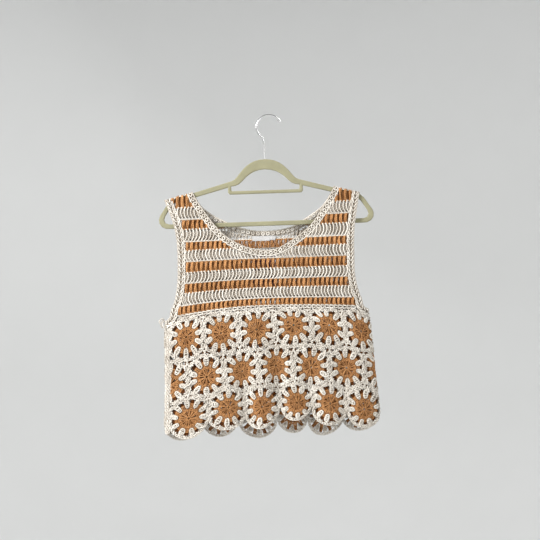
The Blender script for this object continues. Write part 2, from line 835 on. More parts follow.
def line_mesh(name, skein, place):
    """The strands of a skein as lines of edges, with what their finish and thickness need."""
    joined = np.concatenate([row for row, _, _, _ in skein.runs])
    world = place(joined[:, 0], joined[:, 1], joined[:, 2])
    outward = place(joined[:, 0], joined[:, 1], joined[:, 2] + 1.0) - world
    edges, first = [], 0
    for row, _, closed, _ in skein.runs:
        ids = np.arange(first, first + len(row))
        edges.append(np.stack((ids[:-1], ids[1:]), -1))
        if closed:
            edges.append(np.array([[ids[-1], ids[0]]]))
        first += len(row)
    edges = np.concatenate(edges)
    mesh = bpy.data.meshes.new(name)
    mesh.vertices.add(len(world))
    mesh.vertices.foreach_set("co", (world * MM).ravel())
    mesh.edges.add(len(edges))
    mesh.edges.foreach_set("vertices", edges.ravel())
    for label, values in (
            ("thick", [radii * MM for _, radii, _, _ in skein.runs]),
            ("tone", [np.full(len(row), tone) for row, _, _, tone in skein.runs]),
            ("run", [run_of(row[:, :2]) * MM for row, _, _, _ in skein.runs])):
        layer = mesh.attributes.new(label, "FLOAT", "POINT")
        layer.data.foreach_set("value", np.concatenate(values))
    layer = mesh.attributes.new("outward", "FLOAT_VECTOR", "POINT")
    layer.data.foreach_set("vector", outward.ravel())
    mesh.update()
    return mesh


def work_up(name, skein, place, material, sides):
    """One piece of round strands from a skein and the place function of its cloth."""
    made = show(name, line_mesh(name, skein, place))
    modifier = made.modifiers.new("Yarn", "NODES")
    modifier.node_group = bpy.data.node_groups.get("yarn_strands") or tube_tree()
    wanted = {"Sides": sides, "Plumpness": 1.0, "Yarn": material}
    for item in modifier.node_group.interface.items_tree:
        if item.in_out == "INPUT" and item.name in wanted:
            modifier[item.identifier] = wanted[item.name]
    graph = bpy.context.evaluated_depsgraph_get()
    whole = bpy.data.meshes.new_from_object(
        made.evaluated_get(graph), preserve_all_data_layers=True, depsgraph=graph)
    made.modifiers.remove(modifier)
    made.data = whole
    whole.name = name
    return made


def belongs(piece, slot, *nodes):
    """Every piece rides on the one body and stands for its solids."""
    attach(piece, "root")
    if nodes:
        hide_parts(*nodes)
    return piece


def crochet(name, skein, place, colour, *nodes, sides=6):
    """A piece of crochet in one colour of the cotton."""
    material = bpy.data.materials[f"{colour}_cotton_yarn"]
    return belongs(work_up(name, skein, place, material, sides), f"{colour}_yarn", *nodes)


# ------------ yoke

def shadow_of(side):
    """How dark the strands behind others are; the back wall's inside is on show."""
    return 1.0 if side == FRONT else INSIDE_SHADOW


def yoke_region(side):
    """keep(x, drop) for the yoke up to just under its trims and below the shoulder's top."""
    neck = neck_line(side, NECK_TRIM + SEAM - UNDER_TRIM)

    def keep(x, drop):
        within = (x > armhole_x(LEFT, drop, ARM_TRIM - UNDER_TRIM)) \
            & (x < armhole_x(RIGHT, drop, ARM_TRIM - UNDER_TRIM))
        below = drop > np.interp(x, neck[:, 0], neck[:, 1])
        return within & below & (over_arm(side, x, drop) < YOKE_END)
    return keep


def stitch_places(row, left, right):
    """x of each stitch of a row and the pitch between them."""
    posts = int(row["posts"])
    if not row["caramel"]:
        posts = round((right - left) / ARC_PITCH)
    if posts:
        pitch = (right - left) / posts
        return left + pitch * (np.arange(posts) + 0.5), pitch
    half = np.arange(0.5, (right - left) / 2 / STRAP_PITCH)
    places = np.concatenate((left + STRAP_PITCH * half, (right - STRAP_PITCH * half)[::-1]))
    return places, STRAP_PITCH


def caramel_row(skein, row, left, right):
    """Tall posts of two strands that lean and sway round each other, with thin dark strands
    in the slots between them."""
    top, bottom = row["top"], row["bottom"]
    places, pitch = stitch_places(row, left, right)
    tall = bottom - top
    t = np.linspace(-0.04, 1.04, max(int(tall / POST_STEP), 6))
    u = np.linspace(0.02, 0.98, 5)
    label = row_of(LABELS, -1)
    for x in places:
        start = skein.random.normal(0.0, 0.35)
        lean = skein.random.normal(POST_LEAN, 0.35)
        for hand in (0, math.pi):
            turn = hand + start + 0.9 * np.sin(TURN * t)
            across = x + POST_APART * np.cos(turn) + lean * np.sin(np.pi * t)
            skein.strand(across, top + tall * t, 0.45 + 0.9 * np.sin(turn),
                         POST_ROUND - 0.35 * np.abs(2 * t - 1) ** 3)
        over_label = top > STRAPS_ABOVE and label["x"] < x < label["x"] + label["wide"]
        for shift in (0.0,) if over_label else (-0.12, 0.12):
            skein.strand(x + pitch * (0.5 + shift + 0.26 * (0.5 - u)), top + tall * u,
                         out=-0.9, radius=1.1, deep=0.65)
    for drop in (top + 0.9, bottom - 0.9):
        rope(skein, level_line(left, right, drop), away=0.0, radius=1.15, out=-0.3, pitch=pitch,
             deep=0.3)


def cream_row(skein, row, left, right):
    """Curved strands side by side over recessed ones, on a straight lower thread."""
    top, bottom = row["top"], row["bottom"]
    places, pitch = stitch_places(row, left, right)
    tall = bottom - top
    t = np.linspace(-0.03, 0.97, 9)
    u = np.linspace(0.2, 0.76, 5)

    def bent(at):
        return row["bulge"] * np.sin(np.pi * at) + row["tail"] * (at ** 2 - 0.35)

    for x in (places[0] - pitch, *places, places[-1] + pitch):
        skein.strand(x + bent(t), top + tall * t, 0.95 + 0.85 * np.sin(np.pi * t),
                     ARC_ROUND + 0.35 * (1 - t) ** 4 - 0.30 * t ** 4)
        skein.strand(x + pitch / 2 + bent(u), top + tall * u, out=0.1,
                     radius=1.45 + 0.45 * np.sin(np.pi * (u - 0.2) / 0.56), deep=0.5)
    rope(skein, level_line(left, right, bottom - 0.9), away=0.0, radius=1.45, out=0.9,
         pitch=pitch)
    rope(skein, level_line(left, right, top + 0.6), away=0.0, radius=1.2, out=-0.3, pitch=pitch,
         deep=0.2)


def shoulder_chain(skein, side):
    """The chain that closes the strap over the arm."""
    for hand in (LEFT, RIGHT):
        inner = neck_line(side, NECK_TRIM - UNDER_TRIM)[0 if hand == LEFT else -1, 0]
        outer = inner
        for _ in range(6):
            drop = shoulder_drop(side, outer, CHAIN_LIES)
            outer = armhole_x(hand, drop, ARM_TRIM - UNDER_TRIM)
        across = np.linspace(*sorted((float(inner), float(outer))), 12)
        line = Line(np.stack((across, shoulder_drop(side, across, CHAIN_LIES)), -1))
        vees(skein, line, pitch=6.5, width=5.2, radius=1.3, out=0.2)


def yoke(side, name):
    """The cream and the caramel yarn of the yoke's front or back."""
    cream, caramel = (Skein(seed + side, shadow_of(side)) for seed in (11, 21))
    for i in range(len(ROWS["top"])):
        row = row_of(ROWS, i)
        middle = (row["top"] + row["bottom"]) / 2
        ends = [float(armhole_x(hand, middle, ARM_TRIM)) for hand in (LEFT, RIGHT)]
        if row["caramel"]:
            caramel_row(caramel, row, *ends)
        else:
            cream_row(cream, row, *ends)
    for skein in (cream, caramel):
        skein.trim(yoke_region(side))
    shoulder_chain(cream, side)
    return [crochet(f"{name}_{colour}", skein, on_wall(side), colour, name)
            for skein, colour in ((cream, "cream"), (caramel, "caramel"))]


# ------------ trims

def border(name, ground, raised, place):
    """The ground of a narrow border and the raised stitches on it."""
    return [crochet(f"{name}_{part}", skein, place, "cream", name)
            for part, skein in (("yarn", ground), ("stitches", raised))]


def neck_trim(side, name):
    """Border of two ropes with a row of small rings between them, over a dark ground."""
    pairs = []
    for line in (neck_line(side, 0.0), neck_line(side, NECK_TRIM)):
        run = run_of(line)
        at = np.linspace(0, run[-1], 60)
        pairs.append((np.interp(at, run, line[:, 0]), np.interp(at, run, line[:, 1])))
    strip = strip_of((on_wall(side), *pairs))
    skein, raised = (Skein(seed + side, shadow_of(side)) for seed in (31, 36))
    half = NECK_TRIM / 2
    rings = round(strip.length / RING_PITCH)
    pitch = strip.length / rings
    turn = np.linspace(0, TURN, 14, endpoint=False)
    rung = np.linspace(1.6 - half, half - 1.6, 5)
    for i in range(rings):
        s = pitch * (i + 0.5)
        raised.strand(s + 3.4 * np.cos(turn), 2.8 * np.sin(turn), 1.1 + 0.3 * np.cos(turn),
                      radius=1.55, deep=0.05, closed=True)
        if side == BACK:
            raised.strand(s + 3.3 * np.cos(turn), 2.6 * np.sin(turn), out=-1.5, radius=1.6,
                          closed=True)
        for away in (-0.5, -0.16, 0.16):
            skein.strand(s + pitch * away, rung, out=-0.3, radius=1.15, deep=0.85)
    for edge in (-1, 1):
        rope(skein, strip, edge * (half - 1.2), 1.55, 0.7, pitch, swing=0.3)
        rope(raised, strip, edge * (half - 3.4), 0.9, -0.2, pitch, deep=0.8)
    return border(name, skein, raised, strip.place), strip


def armhole_trim(hand, name):
    """One border from the shoulder down the front, under the arm and up the back."""
    stretches = []
    for side in (FRONT, BACK):
        edges = []
        for inward in (0, ARM_TRIM):
            top = 165.0
            for _ in range(9):
                top = float(shoulder_drop(side, float(armhole_x(hand, top, inward)), TRIM_END))
            drop = top + (CLEAR_OF_BAR - top) * np.linspace(0, 1, 40)
            edges.append((armhole_x(hand, drop, inward), drop))
        turns = np.linspace(8, 90 if side == FRONT else 82, 10)
        bend = [underarm(hand, side, turns, inward) for inward in (0, ARM_TRIM)]
        both = [(on_wall(side), *edges), (on_body, *bend)]
        if side == BACK:
            both = [(place, *[(x[::-1], d[::-1]) for x, d in pair]) for place, *pair in both[::-1]]
        stretches += both
    strip = strip_of(*stretches)
    skein, raised = Skein(41 + hand), Skein(46 + hand)
    half, pitch = ARM_TRIM / 2, 8.6
    vees(raised, strip, pitch, width=13.5, radius=2.0, out=0.9, plump=0.5)
    for edge in (-1, 1):
        rope(skein, strip, edge * (half - 1.3), 1.45, 0.6, pitch)
        rope(skein, strip, edge * (half - 3.7), 1.2, -0.45, pitch, swing=0.6, deep=1.0)
    rope(skein, strip, 0.0, 1.3, -0.5, pitch, swing=0.8, deep=1.0)
    return border(name, skein, raised, strip.place), strip


def joining_row(side, name):
    """A braid of raised stitches between the yoke and the motifs."""
    ends = [float(armhole_x(hand, CLEAR_OF_BAR, ARM_TRIM - UNDER_TRIM)) for hand in (LEFT, RIGHT)]
    line = level_line(*ends, YOKE_BOTTOM + SEAM + JOIN_ROW / 2)
    skein, raised = Skein(51 + side), Skein(56 + side)
    vees(raised, line, pitch=9.0, width=9.0, radius=1.7, out=0.9, plump=0.4)
    for away in (-2.9, 2.7):
        rope(skein, line, away, radius=1.3, out=-0.2, pitch=9.0, swing=0.8, deep=0.5)
    return border(name, skein, raised, on_wall(side)), line


def seam_band():
    """Three columns of chain that close the lower panel at its left side."""
    hem = MOTIF_ROWS["drop"][-1] + SCALLOPS[0] - 13
    skein, raised = Skein(61), Skein(62)
    for x in (-5.0, 0.0, 5.0):
        top = float(trim_low(np.array([x]), 1.0)[0])
        line = Line([(x, top), (x, hem - 0.05 * x * x)])
        vees(raised, line, pitch=7.6, width=5.4, radius=1.45, out=0.6)
        for away in (-1.3, 1.3):
            rope(skein, line, away, radius=1.05, out=-0.4, pitch=7.6, deep=0.8)
    return border("side_seam_band", skein, raised, on_body)


# ------------ flower motifs

DEGREES = np.arange(361)


def motif_limit(row, index):
    """How far a motif may reach from its centre, for every degree from +around to the hem."""
    angle = np.radians(DEGREES)
    dx, dy = np.cos(angle), np.sin(angle)
    drops = MOTIF_ROWS["drop"]
    drop = drops[row]
    around = BAND / 2 + PITCH * (index + MOTIF_ROWS["offset"][row])
    limit = np.full(len(DEGREES), MOTIF_ROUND)
    if row == len(drops) - 1:
        limit = np.where(dy > HEM_SIDE, SCALLOPS[index], limit)
    near = [(PITCH, 0), (-PITCH, 0)]
    for other in (row - 1, row + 1):
        if 0 <= other < len(drops):
            near += [(PITCH / 2, drops[other] - drop), (-PITCH / 2, drops[other] - drop)]
    for nx, ny in near:
        length = math.hypot(nx, ny)
        towards = dx * nx + dy * ny
        edge = (length * length / 2 - SEAM / 2 * length) / np.maximum(towards, 1e-6)
        limit = np.where(towards > 1e-6, np.minimum(limit, edge), limit)
    if row == 0:
        for _ in range(120):
            over = (dy < 0) & (drop + limit * dy < panel_top(around + limit * dx))
            limit = np.where(over, limit - 0.25, limit)
    return around, drop, limit


class Flower:
    """The polar places of one motif, pressed where it meets its neighbours."""

    def __init__(self, row, index):
        self.around, self.drop, limit = motif_limit(row, index)
        self.turn = math.radians(MOTIF_TURNS[row][index])
        angle = np.radians(DEGREES)
        edge = limit - 1.6
        arch = np.abs(np.cos(PETALS * (angle - self.turn) / 2))
        if row == len(ROW_LETTERS) - 1:
            arch = np.where(np.sin(angle) > HEM_SIDE, 1.0, arch)
        self.press = (np.minimum(edge, FREE) - WHEEL) / (FREE - WHEEL)
        dip = WHEEL + (CHAIN - WHEEL) * self.press
        self.ring = dip + (edge - dip) * arch

    def ring_at(self, angle):
        return np.interp(np.degrees(angle) % 360, DEGREES, self.ring)

    def places(self, radius, angle):
        """x and y from the centre; the angle counts from the motif's own first spoke."""
        angle = np.asarray(angle) + self.turn
        press = np.interp(np.degrees(angle) % 360, DEGREES, self.press)
        radius = np.where(radius > WHEEL, WHEEL + (radius - WHEEL) * press, radius)
        return radius * np.cos(angle), radius * np.sin(angle)

    def beside(self, radius, side, angle):
        """Places on a ray of the motif, a distance to its side."""
        radius, side = np.broadcast_arrays(np.asarray(radius, float), side)
        return self.places(np.hypot(radius, side), angle + np.arctan2(side, radius))


def wheel(skein, flower):
    """Caramel heart: a small ring, ten double posts and a rim of chain, over dark rings."""
    turn = np.linspace(0, TURN, 9, endpoint=False)
    skein.strand(*flower.places(HUB, turn), out=0.5, radius=1.3, closed=True)
    turn = np.linspace(0, TURN, 10, endpoint=False)
    for r in (5.5, 9.5, 13.0, 16.5):
        skein.strand(*flower.places(r, turn), out=-0.9, radius=1.5, closed=True, deep=0.7)
    t = np.linspace(0, 1, 5)
    r = HUB + 0.4 + (POST_END + 0.4 - HUB) * t
    for k in range(PETALS):
        ray = TURN * (k + 0.5) / PETALS + skein.random.normal(0, 0.05)
        for hand in (LEFT, RIGHT):
            skein.strand(*flower.beside(r, hand * (0.55 + 1.6 * t), ray),
                         0.8 + 0.4 * hand * np.cos(np.pi * t), 1.05 + 0.4 * t, wander=0.4,
                         deep=0.15)
    steps = 2 * PETALS
    for k in range(steps):
        angle = TURN * (k + 1.25 * t - 0.15) / steps
        for hand in (LEFT, RIGHT):
            skein.strand(*flower.places(RIM + hand * (2.0 - 1.5 * t ** 1.5), angle),
                         0.5 + 0.5 * np.sin(np.pi * t), 1.25 - 0.5 * np.abs(2 * t - 1) ** 2)


def spokes(skein, flower):
    """Ten caramel spokes of four strands with a bar at their end, and dark strands beyond."""
    outer = np.linspace(WHEEL - 0.8, SPOKE_END + 2.0, 6)
    aside = np.interp(outer, (WHEEL, 25.0, SPOKE_END, PETAL_END), (4.1, 3.2, 3.0, 2.0))
    inner = np.linspace(WHEEL - 0.8, SPOKE_END, 5)
    behind = np.linspace(SPOKE_END - 1.0, PETAL_END - 2.0, 3)
    wave = np.sin(TURN * np.linspace(0, 1, 5))
    for k in range(PETALS):
        ray = TURN * k / PETALS
        for side in (-1, 1):
            skein.strand(*flower.beside(outer, side * aside, ray), out=-0.1, radius=1.2,
                         deep=0.25)
            skein.strand(*flower.beside(inner, side * (1.35 + 0.3 * wave), ray),
                         out=0.5 + 0.3 * side * wave, radius=1.2, deep=0.15)
        skein.strand(*flower.beside(SPOKE_END, np.linspace(-2.8, 2.8, 4), ray), out=0.3,
                     radius=1.2)
        for side in (-2.4, 0.0, 2.4):
            skein.strand(*flower.beside(behind, side, ray), out=-1.5, radius=1.4, deep=1.3)


def petals(skein, flower):
    """Ten white clusters: a rounded leaf with plump cross strands stacked on it."""
    half = np.array(LEAF)
    leaf = np.concatenate((half[::-1] * (1, -1), half[1:]))
    for k in range(PETALS):
        ray = TURN * (k + 0.5) / PETALS + skein.random.normal(0, 0.035)
        bow = skein.random.normal(0, 0.35) * np.sin(np.linspace(0, TURN, len(leaf)))
        skein.strand(*flower.beside(leaf[:, 0], leaf[:, 1] + bow, ray), out=0.9, radius=1.85,
                     wander=0.25)
        for r, wide in RUNGS:
            across = np.linspace(-wide, wide, 4)
            fall = (across / wide) ** 2
            along = r + skein.random.normal(0, 0.3) + 1.2 * fall
            skein.strand(*flower.beside(along, across, ray), out=2.1 - 1.0 * fall, radius=1.45,
                         wander=0.25)
        axis = np.linspace(25.5, 36.0, 3)
        skein.strand(*flower.beside(axis, 0.0, ray), out=-0.4, radius=(1.3, 1.7, 1.7), deep=0.7)


def crossings(raised, flower):
    """A crossed pair of plump strands at the end of each petal and beyond each spoke."""
    t = np.linspace(0, 1, 5)
    for k in range(2 * PETALS):
        ray = TURN * k / (2 * PETALS) + raised.random.normal(0, 0.03)
        inner = 35.6 if k % 2 else 38.4
        along = inner + (45.4 - inner) * t
        for hand in (LEFT, RIGHT):
            raised.strand(*flower.beside(along, hand * 3.1 * np.cos(np.pi * t), ray),
                          1.3 + 0.9 * hand * np.sin(np.pi * t), 1.95 - 0.3 * t, wander=0.3)


def outer_chain(skein, flower):
    """White chain round the motif: it dips behind each petal and arches between them."""
    angle = np.radians(np.arange(0, 361, 3)) + 0.01
    radius = flower.ring_at(angle)
    line = Line(np.stack((radius * np.cos(angle), radius * np.sin(angle)), -1))
    vees(skein, line, pitch=6.4, width=6.0, radius=1.6, out=0.8, plump=0.45)


def turned(along, across, way, x=0.0, y=0.0):
    """Places given along and across a direction, from x and y."""
    return (x + along * math.cos(way) - across * math.sin(way),
            y + along * math.sin(way) + across * math.cos(way))


def joins(skein, shade, flower, row):
    """Crossed strands where the motif meets its neighbours, and knots over the corners."""
    ways, knots = [0.0], []
    if row < len(ROW_LETTERS) - 1:
        fall = MOTIF_ROWS["drop"][row + 1] - MOTIF_ROWS["drop"][row]
        slope = math.atan2(fall, PITCH / 2)
        ways += [slope, math.pi - slope]
        corner = ((PITCH / 2) ** 2 + fall ** 2) / (2 * fall)
        tilt = math.atan2(fall - corner, PITCH / 2)
        knots = [(0.0, corner, (-math.pi / 2, tilt, math.pi - tilt)),
                 (PITCH / 2, fall - corner, (math.pi / 2, -tilt, math.pi + tilt))]
    for way in ways:
        middle = flower.ring_at(np.array([way]))[0] + 1.8
        across = np.linspace(-10.0, 10.0, 9)
        turn = TURN * across / 13.0 + skein.random.uniform(0, TURN)
        for hand in (LEFT, RIGHT):
            along = middle + hand * 2.6 * np.sin(turn)
            skein.strand(*turned(along, across, way), 2.1 + 0.7 * hand * np.cos(turn), 1.4)
    if row == 0:
        knots.append((PITCH / 2, YOKE_BOTTOM + JOIN_ROW - flower.drop + 4.5,
                      (0.0, math.pi / 2, math.pi)))
    t = np.linspace(-3.0, 8.0, 5)
    for x, y, directions in knots:
        for lower in (-3.0, 0.0, 3.0):
            shade.strand(x + np.linspace(-6.5, 6.5, 3), y + lower, out=-1.2, radius=1.6,
                         deep=0.9)
        for way in directions:
            for hand in (LEFT, RIGHT):
                skein.strand(*turned(t, hand * (0.35 * t - 0.6), way, x, y),
                             out=0.8 + 0.6 * hand, radius=1.5, wander=0.3)


def motif(skeins, row, index, half):
    """One motif; half is 0, or the side of the seam band that it lies on."""
    cream, caramel, raised = skeins
    flower = Flower(row, index)
    cream.shadow = caramel.shadow = shadow_of(FRONT if flower.around < ROUND / 2 else BACK)
    starts = [len(skein.runs) for skein in skeins]
    wheel(caramel, flower)
    spokes(caramel, flower)
    petals(cream, flower)
    outer_chain(cream, flower)
    crossings(raised, flower)
    joins(cream, caramel, flower, row)
    if half:
        for skein, start in zip(skeins, starts):
            skein.trim(lambda x, _: x * half > 1.2, start)
        ends = [(half * 2.0, hand * flower.ring_at(hand * np.pi / 2)) for hand in (-1, 1)]
        vees(cream, Line(ends), pitch=6.2, width=3.6, radius=1.2, out=0.3)
    for skein, start in zip(skeins, starts):
        skein.shift(flower.around, flower.drop, start)


def motif_row(row):
    """The cream, caramel and raised strands of one row of motifs."""
    skeins = [Skein(seed + row) for seed in (71, 81, 91)]
    between = bool(MOTIF_ROWS["offset"][row])
    halves = {} if between else {0: 1, MOTIFS_ROUND: -1}
    nodes = []
    for i in range(MOTIFS_ROUND if between else MOTIFS_ROUND + 1):
        half = halves.get(i, 0)
        motif(skeins, row, i, half)
        nodes.append(f"motif_{ROW_LETTERS[row]}{i + between:02d}" + ("_half" if half else ""))
    return [crochet(f"motif_row_{ROW_LETTERS[row]}_{part}", skein, on_body, colour, *nodes, sides=5)
            for skein, part, colour in zip(skeins, ("cream", "caramel", "stitches"),
                                           ("cream", "caramel", "cream"))]


# ------------ settings

def colour_setting(name, description, default):
    return bpy.props.FloatVectorProperty(name=name, description=description, subtype="COLOR",
                                         default=default, min=0, max=1)


def length_setting(name, description, default, least, most):
    return bpy.props.FloatProperty(name=name, description=description, unit="LENGTH",
                                   default=default, min=least, max=most)


def light_setting(name, description, default):
    return bpy.props.FloatProperty(name=name, description=description, default=default, min=0)


class YarnSettings(bpy.types.PropertyGroup):
    """Colours and twist of the cotton."""
    cream_light: colour_setting("Cream", "Bright side of the cream yarn", (0.97, 0.925, 0.845))
    cream_dark: colour_setting("Cream, shaded", "Grooves of the cream yarn", (0.22, 0.165, 0.11))
    caramel_light: colour_setting("Caramel", "Bright side of the caramel yarn",
                                  (0.70, 0.355, 0.145))
    caramel_dark: colour_setting("Caramel, shaded", "Grooves of the caramel yarn",
                                 (0.105, 0.031, 0.005))
    label: colour_setting("Label", "Tape of the neck label and size tag", (0.68, 0.67, 0.66))
    inner_label: colour_setting("Inner label", "Tape of the dark inner label",
                                (0.060, 0.016, 0.085))
    twist_length: length_setting("Twist", "Length of one turn of the yarn's plies", 0.0042,
                                 0.001, 0.02)


class HangerSettings(bpy.types.PropertyGroup):
    """Colours of the hanger and its hook."""
    flock: colour_setting("Flock", "Velvet of the hanger", (0.365, 0.345, 0.22))
    chrome: colour_setting("Chrome", "Wire of the hook", (0.80, 0.80, 0.80))


class StageSettings(bpy.types.PropertyGroup):
    """Size and colour of the stage, and the strength of its lights."""
    radius: length_setting("Radius", "How far the backdrop stands away", 3.4, 2.0, 10.0)
    floor: length_setting("Floor", "How far the floor lies below the hook", 2.0, 1.0, 5.0)
    colour: colour_setting("Backdrop", "Colour of floor and backdrop", (0.70, 0.705, 0.70))
    key: light_setting("Key light", "Strength of the main soft light", 106.0)
    fill: light_setting("Fill light", "Strength of the second soft light", 18.0)
    back: light_setting("Back light", "Strength of the soft light behind", 45.0)
    backdrop: light_setting("Backdrop light", "Strength of each light on the backdrop", 2.5)


# ------------ operators

class CROCHET_OT_finishes(bpy.types.Operator):
    """Makes the materials of the two yarns"""
    bl_idname = "crochet.finishes"
    bl_label = "Finishes"

    def execute(self, context):
        yarn = context.scene.crochet_yarn
        for name in ("cream", "caramel"):
            light, dark = getattr(yarn, name + "_light"), getattr(yarn, name + "_dark")
            yarn_finish(name + "_cotton_yarn", light, dark, yarn.twist_length)
        return {"FINISHED"}


class CROCHET_OT_hanger(bpy.types.Operator):
    """Finishes the hanger in olive flock"""
    bl_idname = "crochet.hanger"
    bl_label = "Hanger"

    def execute(self, context):
        flock = context.scene.crochet_hanger.flock
        finish = Finish("olive_flock", {"Sheen Weight": 0.55, "Sheen Roughness": 0.35,
                                        "Specular IOR Level": 0.15})
        pile = finish.noise(2600.0, 2.0)
        cloud = finish.noise(24.0, 4.0, stretch=(1, 1, 1.6))
        worn = finish.noise(90.0, 4.0)
        bright = (0.25 + 0.9 * (cloud - 0.5) + 0.5 * pile + 0.35 * (worn - 0.5)).clamp()
        finish.end(bump=(pile + 0.4 * worn, 0.00025, 0.8),
                   Base_Color=finish.mix(bright, dimmed(flock, 0.68), flock),
                   Roughness=(0.86 + 0.12 * pile).clamp())
        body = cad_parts["hanger_body"]
        body.data.materials.clear()
        body.data.materials.append(finish.material)
        return {"FINISHED"}


def in_space(x, z, y):
    """Places that are given in space, not on the cloth."""
    return np.stack((x, y, z), -1)


class CROCHET_OT_hook(bpy.types.Operator):
    """Makes the wire hook with its rounded tip"""
    bl_idname = "crochet.hook"
    bl_label = "Hook"

    def execute(self, context):
        path = []
        tip, turn_back, steps = 26, 236, 60
        for i in range(steps + 1):
            angle = math.radians(tip + (turn_back - tip) * i / steps)
            path.append((HOOK_BEND * math.cos(angle),
                         HOOK_WIRE - HOOK_BEND + HOOK_BEND * math.sin(angle)))
        stem_x, _ = hanger_point(0, -52)
        path += [(stem_x - 2.6, -48.6), (stem_x - 0.6, -53.5)]
        path += [hanger_point(0, stem) for stem in (-60, -72, HANGER_CREST + 0.3)]
        line = evenly(path, 1.6)
        bead = HOOK_WIRE * 0.35 * np.exp(-((run_of(line) - 2.2) / 2.0) ** 2)
        radii = HOOK_WIRE + bead
        radii[0] *= 0.55
        skein = Skein(5)
        skein.runs.append((np.stack((*line.T, np.zeros(len(line))), -1), radii, False, 0.5))
        colour = (*context.scene.crochet_hanger.chrome, 1)
        chrome = Finish("chrome_wire", {"Metallic": 1.0, "Base Color": colour})
        streak = chrome.noise(260.0, 3.0, stretch=(1, 1, 0.15))
        smudge = chrome.noise(40.0, 3.0)
        chrome.end(bump=(streak, 0.00004, 0.4),
                   Roughness=(0.10 + 0.10 * smudge + 0.08 * streak).clamp())
        piece = work_up("hook_wire", skein, in_space, chrome.material, sides=16)
        belongs(piece, "chrome_wire", "hanger_hook")
        return {"FINISHED"}


class CROCHET_OT_yokes(bpy.types.Operator):
    """Works the striped yoke and straps, front and back"""
    bl_idname = "crochet.yokes"
    bl_label = "Yokes"

    def execute(self, context):
        for side, name in ((FRONT, "front_yoke"), (BACK, "back_yoke")):
            for piece, of_all in zip(yoke(side, name), (0.42, 0.48)):
                0.39 * 0.235 * of_all
        return {"FINISHED"}


class CROCHET_OT_trims(bpy.types.Operator):
    """Works the borders of the neck and armholes"""
    bl_idname = "crochet.trims"
    bl_label = "Trims"

    def execute(self, context):
        made = [(neck_trim(FRONT, "neck_trim_front"), NECK_TRIM),
                (neck_trim(BACK, "neck_trim_back"), NECK_TRIM),
                (armhole_trim(LEFT, "armhole_trim_left"), ARM_TRIM),
                (armhole_trim(RIGHT, "armhole_trim_right"), ARM_TRIM)]
        for ((ground, raised), strip), wide in made:
            wide * MM
        return {"FINISHED"}


class CROCHET_OT_panel(bpy.types.Operator):
    """Works the flower motifs, the joining rows and the side seam band"""
    bl_idname = "crochet.panel"
    bl_label = "Lower panel"

    def execute(self, context):
        for side, name in ((FRONT, "joining_row_front"), (BACK, "joining_row_back")):
            (ground, raised), line = joining_row(side, name)
        ground, raised = seam_band()
        for row in range(len(ROW_LETTERS)):
            cream, caramel, raised = motif_row(row)
        return {"FINISHED"}


def slab(name, near, far, material):
    """A closed thin sheet between two grids of points."""
    rows, columns = near.shape[:2]
    first = np.arange(rows * columns).reshape(rows, columns)
    second = first + rows * columns
    rim = np.concatenate((first[0, :], first[1:, -1], first[-1, -2::-1], first[-2:0:-1, 0]))
    ahead = np.roll(rim, -1)
    quads = [np.stack((grid[:-1, :-1], grid[:-1, 1:], grid[1:, 1:], grid[1:, :-1]), -1)
             for grid in (first, second)]
    faces = [quads[0].reshape(-1, 4), quads[1].reshape(-1, 4)[:, ::-1],
             np.stack((ahead, rim, rim + rows * columns, ahead + rows * columns), -1)]
    mesh = bpy.data.meshes.new(name)
    points = np.concatenate((near.reshape(-1, 3), far.reshape(-1, 3))) * MM
    mesh.from_pydata(points.tolist(), [], np.concatenate(faces).tolist())
    bm = bmesh.new()
    bm.from_mesh(mesh)
    bmesh.ops.recalc_face_normals(bm, faces=bm.faces)
    bm.to_mesh(mesh)
    bm.free()
    mesh.materials.append(material)
    return show(name, mesh)


def woven_label(name, x, drop, wide, high, material):
    """A thin woven sheet that hangs just inside the back wall, wavy towards its free end."""
    across, down = np.meshgrid(np.linspace(0, 1, max(int(wide / 1.5), 6)),
                               np.linspace(0, 1, max(int(high / 1.5), 6)), indexing="ij")
    wave = 0.18 * np.sin(5.0 * across + 2.0 * down + x) * down + 0.10 * np.sin(11.0 * across)
    grids = [on_wall(BACK)(x + wide * across, drop + high * down, wave - WALL / 2 - SEAM - inside)
             for inside in (0.15, LABEL_THICK)]
    return slab(name, *grids, material)


def satin(name, colour):
    """Woven tape with fine ribs and a little unevenness."""
    finish = Finish(name, {"Sheen Weight": 0.15, "Specular IOR Level": 0.4})
    ribs = finish.noise(900.0, 2.0, stretch=(0.25, 1, 2.5))
    bright = (0.5 * ribs + 0.5 * finish.noise(60.0)).clamp()
    return finish.end(bump=(ribs, 0.0001, 0.5),
                      Base_Color=finish.mix(bright, dimmed(colour, 0.80), colour),
                      Roughness=(0.42 + 0.25 * ribs).clamp())


class CROCHET_OT_labels(bpy.types.Operator):
    """Sews the bare labels inside the back of the neck"""
    bl_idname = "crochet.labels"
    bl_label = "Labels"

    def execute(self, context):
        yarn = context.scene.crochet_yarn
        made_of = {"white_satin": satin("white_satin", yarn.label),
                   "ink_satin": satin("ink_satin", yarn.inner_label)}
        thread = Skein(95)
        for i, name in enumerate(("neck_label", "size_tag", "inner_label")):
            x, drop, wide, high = (float(value) for value in row_of(LABELS, i).values())
            slot = "ink_satin" if name == "inner_label" else "white_satin"
            piece = woven_label(f"{name}_tape", x, drop, wide, high, made_of[slot])
            belongs(piece, slot, name)
            for k in range(int(wide / STITCH_PITCH)):
                start = x + 1.0 + STITCH_PITCH * k
                thread.strand(np.array([start, start + 0.8, start + 1.6]), drop + 0.9,
                              -(WALL / 2 + SEAM + LABEL_THICK + 0.05), radius=0.28, wander=0.03)
        stitches = work_up("label_stitches", thread, on_wall(BACK), made_of["white_satin"], 6)
        belongs(stitches, "white_satin")
        return {"FINISHED"}


